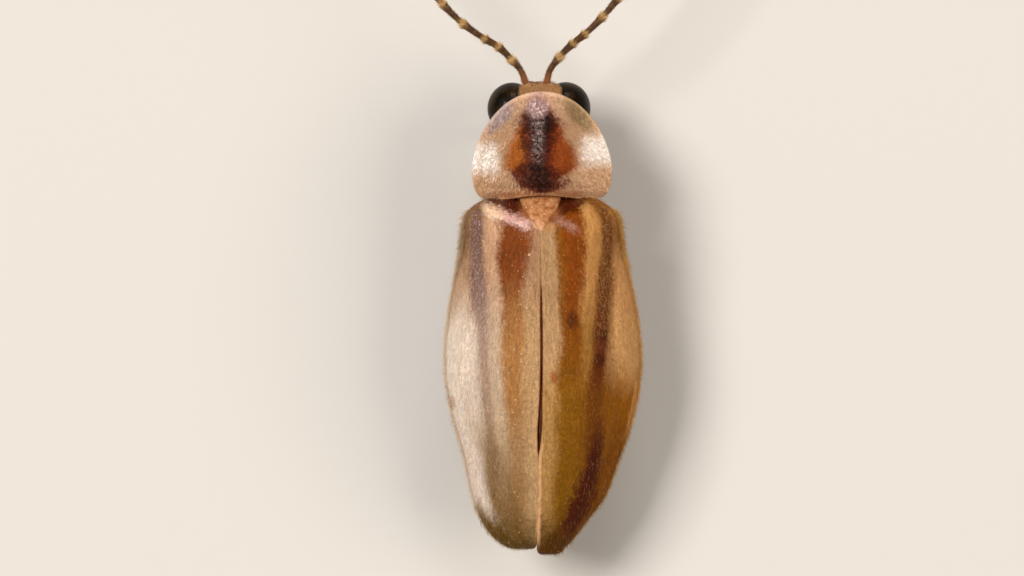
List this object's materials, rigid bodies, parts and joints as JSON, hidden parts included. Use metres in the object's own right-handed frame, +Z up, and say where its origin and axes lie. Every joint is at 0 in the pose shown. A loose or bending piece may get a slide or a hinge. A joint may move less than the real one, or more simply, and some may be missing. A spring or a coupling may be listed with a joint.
{
  "type": "firefly, life-size model",
  "caption": "Life-size still model of a firefly standing with closed wing cases, spread feelers and legs drawn in beneath its body.",
  "frame": {"origin": "on the floor, under the middle of the bounding box", "axes": "+Z up, -Y ahead of the head, +X to the animal's left"},
  "size_m": [0.0104, 0.0188, 0.0049],
  "materials": {
    "pronotum_shell": "translucent cream shield with orange patches and a dark core, finely haired",
    "head_skin": "pale peach to tan cuticle",
    "eye": "glossy dark brown, finely faceted",
    "antenna": "dark brown joints with pale rings",
    "wing_case": "satin brown and tan stripes with pale margins, golden hair",
    "wing_membrane": "thin smoky membrane",
    "underside": "brown cuticle with short hair",
    "abdomen_skin": "brown overlapping rings with short hair",
    "light_organ": "waxy cream",
    "leg": "tan to brown cuticle with short hair"
  },
  "bodies": {
    "root": {"pronotum": "pronotum_shell", "prothorax": "underside", "head": "head_skin", "eye_left": "eye", "eye_right": "eye", "antenna_left": "antenna", "antenna_right": "antenna", "scutellum": "wing_case", "mesothorax": "underside", "metathorax": "underside", "elytron_left": "wing_case", "elytron_right": "wing_case", "hindwing_left": "wing_membrane", "hindwing_right": "wing_membrane", "abdomen": "abdomen_skin", "lantern": "light_organ", "abdomen_tip": "abdomen_skin", "leg_front_left": "leg", "leg_middle_left": "leg", "leg_hind_left": "leg", "leg_front_right": "leg", "leg_middle_right": "leg", "leg_hind_right": "leg"}
  },
  "joints": []
}
